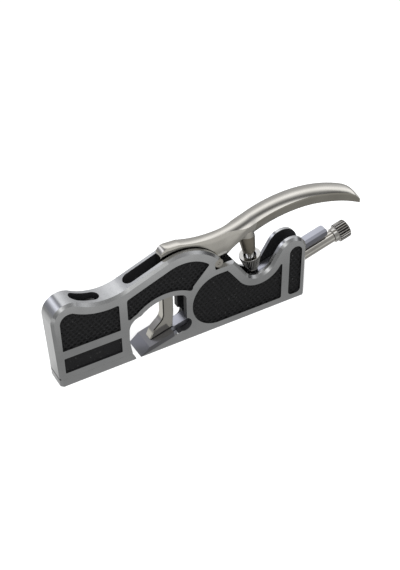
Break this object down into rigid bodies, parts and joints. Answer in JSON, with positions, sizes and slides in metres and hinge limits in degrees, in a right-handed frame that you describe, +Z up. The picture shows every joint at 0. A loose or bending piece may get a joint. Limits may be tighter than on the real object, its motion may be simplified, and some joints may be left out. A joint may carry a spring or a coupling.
{
  "type": "shoulder plane",
  "caption": "Narrow metal hand plane, throat open on both sides, sliding toe, low-angle T-shaped blade, curved palm lever and screw depth adjuster.",
  "frame": {"origin": "on the sole, at the middle of the sole's length and of the body's width", "axes": "+X from toe to heel, +Y across the body, +Z up from the sole to the lever"},
  "size_m": [0.2577, 0.019, 0.0926],
  "materials": {
    "body_steel": "ground, satin, dark textured recesses",
    "lever_nickel": "satin nickel, warm grey",
    "blade_steel": "lapped tool steel",
    "stainless": "turned, bright",
    "dark_steel": "black oxide",
    "brass": "turned"
  },
  "bodies": {
    "plane_body": {"body": "body_steel", "adjuster_bush": "brass"},
    "toe": {"toe_piece": "body_steel"},
    "toe_washer": {"toe_lock_washer": "stainless"},
    "toe_screw": {"toe_lock_screw": "stainless"},
    "iron": {"blade": "blade_steel", "blade_drive_pin": "stainless"},
    "adjuster": {"adjuster_spindle": "stainless", "adjuster_knob": "stainless", "knob_grub_screw": "dark_steel"},
    "lever": {"lever_cap": "lever_nickel", "lever_pivot_pin": "lever_nickel"},
    "pad": {"thrust_pad": "dark_steel"},
    "lever_screw": {"lever_screw_stud": "stainless", "lever_screw_knob": "stainless"}
  },
  "joints": [
    {"name": "toe_slide", "type": "slide", "parent": "plane_body", "child": "toe", "axis": [1, 0, 0], "range_m": [-0.003, 0.001]},
    {"name": "toe_washer_lift", "type": "slide", "parent": "toe", "child": "toe_washer", "axis": [0, 0, 1], "range_m": [0, 0.0008]},
    {"name": "toe_lock_turn", "type": "hinge", "parent": "toe_washer", "child": "toe_screw", "pos_m": [-0.072, 0, 0.058], "axis": [0, 0, 1], "range_deg": [0, 360]},
    {"name": "blade_slide", "type": "slide", "parent": "plane_body", "child": "iron", "axis": [0.9648, 0, 0.263], "range_m": [-0.002, 0.006]},
    {"name": "adjuster_turn", "type": "hinge", "parent": "iron", "child": "adjuster", "pos_m": [0.05874, 0, 0.01801], "axis": [0.9648, 0, 0.263], "range_deg": [-720, 2160]},
    {"name": "lever_tilt", "type": "hinge", "parent": "plane_body", "child": "lever", "pos_m": [0.026, 0, 0.0599], "axis": [0, 1, 0], "range_deg": [0, 2.91]},
    {"name": "pad_slide", "type": "slide", "parent": "lever", "child": "pad", "axis": [-0.1736, 0, 0.9848], "range_m": [0, 0.0016]},
    {"name": "lever_screw_turn", "type": "hinge", "parent": "pad", "child": "lever_screw", "pos_m": [0.0609, 0, 0.0317], "axis": [-0.1736, 0, 0.9848], "range_deg": [0, 720]}
  ],
  "couplings": [
    {"joint": "toe_lock_turn", "follows": "toe_washer_lift", "rad_per_m": 7854},
    {"joint": "blade_slide", "follows": "adjuster_turn", "m_per_rad": 0.00015915},
    {"joint": "pad_slide", "follows": "lever_screw_turn", "m_per_rad": 0.00012732},
    {"joint": "lever_tilt", "follows": "lever_screw_turn", "ratio": 0.004042}
  ]
}
